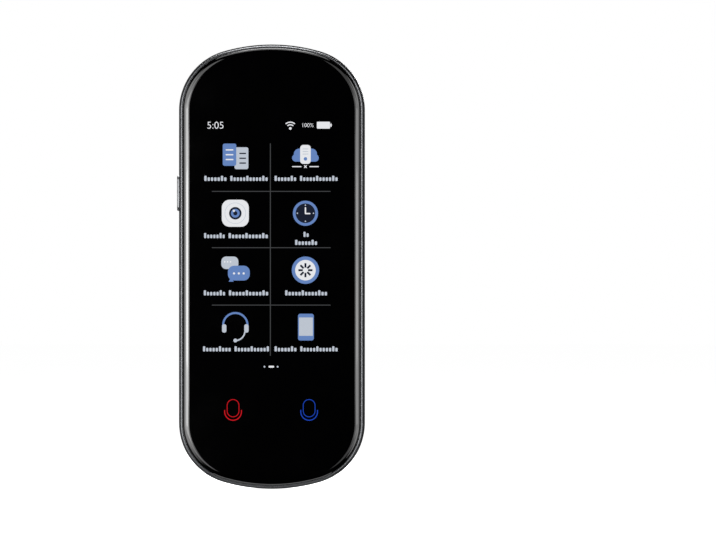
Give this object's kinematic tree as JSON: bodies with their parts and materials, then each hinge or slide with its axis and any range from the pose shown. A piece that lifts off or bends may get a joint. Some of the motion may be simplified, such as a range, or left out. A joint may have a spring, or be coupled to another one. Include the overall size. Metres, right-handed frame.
{
  "type": "handheld translator",
  "caption": "Slim pocket device with long rounded ends, a full-face curved glass, a raised back with camera and speaker holes, and a side key.",
  "frame": {"origin": "centre of the flat raised area of the back, on its surface", "axes": "+X to the right when facing the screen, +Y out of the back, +Z towards the camera end; the body stands upright on its lower end"},
  "size_m": [0.0586, 0.0132, 0.1385],
  "materials": {
    "shell_paint": "satin dark grey paint with a fine metal flake",
    "polished_ring": "polished",
    "black_glass": "glossy, backed with black print",
    "black_tape": "foam tape",
    "sensor_glass": "clear film",
    "panel_glass": "dark display glass",
    "white_plastic": "white light guide",
    "ribbon_film": "amber film",
    "frame_metal": "cast, bead blasted",
    "screw_steel": "bright steel",
    "circuit_board": "green solder mask",
    "shield_tin": "tinned sheet",
    "chip_resin": "moulded resin",
    "grey_pad": "soft pad",
    "ivory_plastic": "moulded",
    "cell_foil": "dull pouch foil",
    "white_tape": "pull tape",
    "sleeve_steel": "drawn steel",
    "black_plastic": "moulded",
    "gilt_metal": "gold plated",
    "black_rubber": "moulded",
    "led_yellow": "light emitting",
    "clear_plastic": "frosted clear",
    "mesh_fabric": "fine woven",
    "magnet_metal": "nickel plated",
    "cone_film": "thin film",
    "ring_gloss": "gloss black",
    "lens_glass": "coated glass",
    "sensor_chip": "sensor glass",
    "key_silver": "satin"
  },
  "bodies": {
    "housing": {"rear_shell": "shell_paint", "bezel_ring": "polished_ring", "cover_glass": "black_glass", "glass_tape": "black_tape", "touch_sensor": "sensor_glass", "display_panel": "panel_glass", "backlight": "white_plastic", "display_ribbon": "ribbon_film", "mid_frame": "frame_metal", "frame_screws": "screw_steel", "main_board": "circuit_board", "board_screws": "screw_steel", "processor_shield": "shield_tin", "radio_shield": "shield_tin", "processor": "chip_resin", "radio_chip": "chip_resin", "power_chip": "chip_resin", "thermal_pad": "grey_pad", "board_plugs": "ivory_plastic", "battery_cell": "cell_foil", "battery_tape": "white_tape", "battery_circuit": "circuit_board", "battery_ribbon": "ribbon_film", "charging_board": "circuit_board", "link_ribbon": "ribbon_film", "usb_sleeve": "sleeve_steel", "usb_tongue": "black_plastic", "lower_microphone": "gilt_metal", "microphone_boot": "black_rubber", "upper_microphone": "gilt_metal", "key_light_board": "circuit_board", "key_leds": "led_yellow", "key_light_guides": "clear_plastic", "speaker_mesh": "mesh_fabric", "speaker_gasket": "black_rubber", "speaker_box": "black_plastic", "speaker_magnet": "magnet_metal", "camera_ring": "ring_gloss", "camera_window": "lens_glass", "camera_gasket": "black_rubber", "camera_housing": "black_plastic", "image_sensor": "sensor_chip", "camera_base": "circuit_board", "camera_pad": "black_rubber", "camera_ribbon": "ribbon_film", "switch_body": "black_plastic", "antenna": "gilt_metal", "antenna_spring": "gilt_metal"},
    "side_key": {"side_key": "key_silver"},
    "switch_plunger": {"switch_plunger": "ivory_plastic"},
    "focus_lens": {"lens_barrel": "black_plastic"},
    "speaker_cone": {"speaker_cone": "cone_film"}
  },
  "joints": [
    {"name": "key_press", "type": "slide", "parent": "housing", "child": "side_key", "axis": [1, 0, 0], "range_m": [0, 0.0003], "stiffness_N_per_m": 1200, "springref_m": -0.0004},
    {"name": "switch_stroke", "type": "slide", "parent": "housing", "child": "switch_plunger", "axis": [1, 0, 0], "range_m": [0, 0.0003]},
    {"name": "lens_focus", "type": "slide", "parent": "housing", "child": "focus_lens", "axis": [0, 1, 0], "range_m": [0, 0.00025], "stiffness_N_per_m": 120, "springref_m": -0.0002},
    {"name": "cone_stroke", "type": "slide", "parent": "housing", "child": "speaker_cone", "axis": [0, 1, 0], "range_m": [-0.0002, 0.0002], "stiffness_N_per_m": 800}
  ],
  "couplings": [
    {"joint": "switch_stroke", "follows": "key_press", "ratio": 1}
  ]
}
